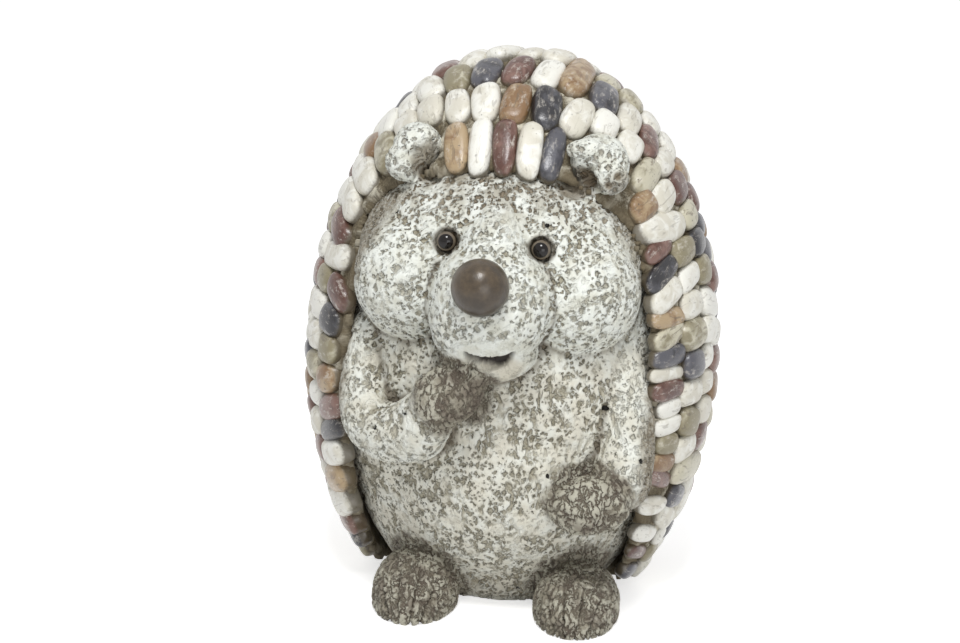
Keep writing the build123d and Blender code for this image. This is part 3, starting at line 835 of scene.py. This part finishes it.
def add_stone(store, part):
    """One pebble of its own shape, where the CAD model's stone lies and about as long and wide."""
    base, (along, wide, out), (half_length, half_width, rise) = stone_measures(part)
    turn = stone_dice.uniform(-STONE_TURN, STONE_TURN)
    along, wide = along * cos(turn) + wide * sin(turn), wide * cos(turn) - along * sin(turn)
    seed = Vector([stone_dice.uniform(-50, 50) for _ in range(3)])
    tint = stone_dice.random()
    fullness = STONE_FULLNESS * stone_dice.uniform(*STONE_FULLNESS_SPREAD)
    half_height = rise * STONE_RISE_SHARE
    lift = rise - half_height
    half_sizes = (half_length + STONE_LENGTHENING, half_width + STONE_SWELL, half_height)
    start = len(store["points"])
    for direction in CAGE_DIRECTIONS:
        length = sum(abs(c) ** fullness for c in direction) ** (-1 / fullness)
        dent = STONE_DENT_SHARE * noise.noise(direction * DENTS_PER_STONE + seed)
        ripple = STONE_RIPPLE_SHARE * noise.noise(direction * RIPPLES_PER_STONE + seed)
        reach = length * (STONE_SIZE_SHARE - dent - ripple)
        x, y, z = (c * reach * half for c, half in zip(direction, half_sizes))
        store["points"].append(base + along * x + wide * y + out * (z + lift))
        store["grain"].append((x / MM + seed.x, y / MM + seed.y, z / MM + seed.z))
        store["rise"].append(z / half_height)
        store["tint"].append(tint)
    store["faces"].extend(tuple(start + i for i in face) for face in CAGE_FACES)


def make_pebbles(node):
    store = {"points": [], "faces": [], "grain": [], "rise": [], "tint": []}
    for part in loose_parts(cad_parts[node].data):
        add_stone(store, part)
    mesh = bpy.data.meshes.new(node)
    mesh.from_pydata(store["points"], [], store["faces"])
    for name, kind in (("grain", "FLOAT_VECTOR"), ("rise", "FLOAT"), ("tint", "FLOAT")):
        add_attribute(mesh, name, store[name], kind)
    pebbles = bpy.data.objects.new(node + "_stones", mesh)
    bpy.context.scene.collection.objects.link(pebbles)
    apply_modifier(pebbles, "SUBSURF", levels=2, render_levels=2)
    return pebbles


def stone_finish(name, body, second, veil, speck, gloss):
    """Polished stone: a body colour that drifts to a second one, a pale veil, dark bands and specks,
    and a foot darkened by dirt and by painted shade where it meets the mortar."""
    g = Finish(name, Roughness=gloss, Coat_Weight=0.15, Coat_Roughness=0.25)
    grain = g.stretched(g.read("grain", "Vector"), (MM,) * 3)
    drift = g.noise(grain, STONE_DRIFT_SIZE, 3.0, 0.55, 0.6)
    fine = g.noise(grain, STONE_GRAIN_SIZE, 4.0, 0.6)
    drift = g.plus(drift, g.swing(g.read("tint"), 0.35))
    colour = g.mix(g.ramp(drift, 0.38, 0.66), body, second)
    dry = g.ramp(g.noise(g.stretched(grain, (0.5, 1, 1)), STONE_VEIL_SIZE, 5.0, 0.75), 0.52, 0.70)
    colour = g.mix(g.times(dry, veil), colour, STONE_VEIL)
    band = g.noise(g.stretched(grain, (0.25, 1.0, 1.0)), STONE_BAND_SIZE, 3.0, 0.6, 0.8)
    colour = g.mix(g.ramp(band, 0.44, 0.32, 0.0, speck), colour, STONE_BAND)
    dots = g.cells(g.shaken(grain, STONE_DOT_EDGE_SIZE, STONE_DOT_EDGE_REACH), STONE_DOT_SPACING)
    smaller = g.times(g.axis(dots.outputs["Color"], 0), 0.4)
    dot = g.ramp(g.plus(dots.outputs["Distance"], smaller), 0.22, 0.14)
    colour = g.mix(g.times(dot, speck), colour, STONE_DOT)
    # The foot of each stone darkens: dirt, and painted shade where the stone meets the mortar.
    foot = g.ramp(g.plus(g.read("rise"), g.swing(fine, 0.3)), 0.5, 0.12)
    colour = g.mix(g.times(foot, 0.85), colour, STONE_FOOT_DIRT_AND_SHADE)
    g.set("Base Color", colour)
    g.bump(g.plus(g.times(fine, 0.4), g.times(dot, -0.8)), STONE_GRAIN_DEPTH)
    return g.material


# Eyes and nose

NOSE_CLOUD_SIZE = 6 * MM
NOSE_GRAIN_SIZE = 0.8 * MM
NOSE_GRAIN_DEPTH = 0.3 * MM
NOSE_PAINTED_SHADE_FADE = (NOSE_CENTRE.z + 4 * MM, NOSE_CENTRE.z - 8 * MM)
NOSE_BROWN = linear(60, 49, 35)
NOSE_PALE_BROWN = linear(88, 74, 55)
NOSE_PAINTED_SHADE = linear(44, 35, 24)
EYE_GAZE = Vector((0, -1, 0.12)).normalized()
PUPIL = linear(14, 7, 5)
IRIS_RING = linear(108, 98, 84)
EYE_RIM = linear(60, 50, 38)


def ball(name, centre, radius, segments):
    """A ball with half as many rings as segments."""
    bpy.ops.object.select_all(action="DESELECT")
    rings = segments // 2
    bpy.ops.mesh.primitive_uv_sphere_add(
        segments=segments, ring_count=rings, radius=radius, location=centre
    )
    obj = bpy.context.object
    obj.name = name
    bpy.ops.object.transform_apply(location=True, rotation=True, scale=True)
    return obj


def nose_finish():
    g = Finish("nose_coat", Roughness=0.3, Specular_IOR_Level=0.55)
    place = g.place()
    cloud = g.noise(place, NOSE_CLOUD_SIZE, 4.0, 0.6)
    fine = g.noise(place, NOSE_GRAIN_SIZE, 3.0)
    colour = g.mix(g.ramp(cloud, 0.35, 0.7), NOSE_BROWN, NOSE_PALE_BROWN)
    # Painted shade: the nose darkens towards its underside.
    painted_shade = g.ramp(g.height_of(place), *NOSE_PAINTED_SHADE_FADE)
    g.set("Base Color", g.mix(g.times(painted_shade, 0.6), colour, NOSE_PAINTED_SHADE))
    g.bump(g.plus(cloud, g.times(fine, 0.15)), NOSE_GRAIN_DEPTH)
    return g.material


def make_eye(centre, name):
    """A glass ball whose attribute ring is the distance from the line that it looks along."""
    eye = ball(name, centre, EYE_RADIUS, 48)
    offsets = [vertex.co - centre for vertex in eye.data.vertices]
    across = ((o - EYE_GAZE * o.dot(EYE_GAZE)).length / EYE_RADIUS for o in offsets)
    rings = [share if o.dot(EYE_GAZE) > 0 else 1 for o, share in zip(offsets, across)]
    add_attribute(eye.data, "ring", rings)
    return eye


def eye_finish():
    g = Finish("eye_glass", Roughness=0.06, Specular_IOR_Level=0.36)
    ring = g.read("ring")
    colour = g.mix(g.ramp(ring, 0.70, 0.76), PUPIL, IRIS_RING)
    g.set("Base Color", g.mix(g.ramp(ring, 0.88, 0.95), colour, EYE_RIM))
    return g.material


# The pieces

def keep_inside(mesh):
    """Moves what reaches past the CAD model's box back onto its faces."""
    set_points(mesh, np.clip(points_of(mesh), *np.array([list(corner) for corner in cad_box])))


def finish_piece(piece, material, slot, *nodes):
    keep_inside(piece.data)
    piece.data.materials.clear()
    piece.data.materials.append(material)
    for polygon in piece.data.polygons:
        polygon.use_smooth = True
    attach(piece, "root")
    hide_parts(*nodes)


casting = make_casting()
grow_with_nodes(casting, casting_relief)
cast_stone = casting_finish()
for piece in split_casting(casting):
    finish_piece(piece, cast_stone, "casting", "body_casting")

mortar = make_mortar()
grow_with_nodes(mortar, mortar_relief)
finish_piece(mortar, mortar_finish(), "mortar", "mortar_coat")

stone_finishes = {kind: stone_finish(f"{kind}_stone", *values) for kind, values in STONE_KINDS.items()}
for node in sorted(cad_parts):
    if "_pebbles_" in node:
        kind = node.split("_")[0]
        finish_piece(make_pebbles(node), stone_finishes[kind], f"{kind}_stone", node)

finish_piece(ball("nose_ball", NOSE_CENTRE, NOSE_RADIUS, 64), nose_finish(), "nose_coat", "nose")
glass = eye_finish()
finish_piece(make_eye(RIGHT_EYE, "right_eye_ball"), glass, "eye_glass", "right_eye")
finish_piece(make_eye(LEFT_EYE, "left_eye_ball"), glass, "eye_glass", "left_eye")


# Studio

FLOOR_SIZE = 14.0
FLOOR_WHITE = linear(245, 245, 245)
FLOOR_GLOW = 0.62
WORLD_STRENGTH = 0.42
WHITE = (1, 1, 1, 1)


def seen_directly(g):
    """1 for what the camera sees, also in glass or gloss."""
    rays = g.add("ShaderNodeLightPath").outputs
    return g.most(rays["Is Camera Ray"], rays["Is Glossy Ray"], rays["Is Transmission Ray"])


def towards(azimuth, elevation):
    """The direction from the figure to a camera or lamp at these angles, in degrees."""
    a, e = radians(azimuth), radians(elevation)
    return Vector((sin(a) * cos(e), -cos(a) * cos(e), sin(e)))


def studio():
    """A pale floor that keeps the shadow, and a white room."""
    bpy.ops.object.select_all(action="DESELECT")
    bpy.ops.mesh.primitive_plane_add(size=FLOOR_SIZE, location=(0, 0, 0))
    floor = bpy.context.object
    floor.name = "floor"
    g = Finish("floor", Base_Color=FLOOR_WHITE, Roughness=0.9, Emission_Color=WHITE)
    g.set("Emission Strength", g.times(seen_directly(g), FLOOR_GLOW))
    floor.data.materials.append(g.material)
    world = bpy.data.worlds.new("studio")
    bpy.context.scene.world = world
    world.use_nodes = True
    g = Graph(world.node_tree)
    background = world.node_tree.nodes["Background"]
    background.inputs["Color"].default_value = WHITE
    strength = g.ramp(seen_directly(g), 0, 1, WORLD_STRENGTH, 1.0)
    world.node_tree.links.new(strength, background.inputs["Strength"])


def lamp(name, azimuth, elevation, distance, size, power):
    back = towards(azimuth, elevation)
    light = bpy.data.lights.new(name, "AREA")
    light.shape = "SQUARE"
    light.size = size
    light.energy = power
    obj = bpy.data.objects.new(name, light)
    obj.location = CAMERA_TARGET + back * distance
    obj.rotation_euler = (-back).to_track_quat("-Z", "Y").to_euler()
    bpy.context.scene.collection.objects.link(obj)


def camera():
    back = towards(CAMERA_AZIMUTH, CAMERA_ELEVATION)
    data = bpy.data.cameras.new("camera")
    data.lens = CAMERA_LENS
    data.shift_x, data.shift_y = CAMERA_SHIFT
    obj = bpy.data.objects.new("camera", data)
    roll = Euler((0, 0, radians(CAMERA_ROLL))).to_quaternion()
    obj.rotation_mode = "QUATERNION"
    obj.rotation_quaternion = (-back).to_track_quat("-Z", "Y") @ roll
    obj.location = CAMERA_TARGET + back * CAMERA_DISTANCE
    bpy.context.scene.collection.objects.link(obj)
    bpy.context.scene.camera = obj


studio()
lamp("key", azimuth=2, elevation=56, distance=1.2, size=0.3, power=8.0)
lamp("fill", azimuth=25, elevation=4, distance=1.4, size=0.8, power=4.5)
camera()
bpy.context.scene.view_settings.view_transform = "Standard"
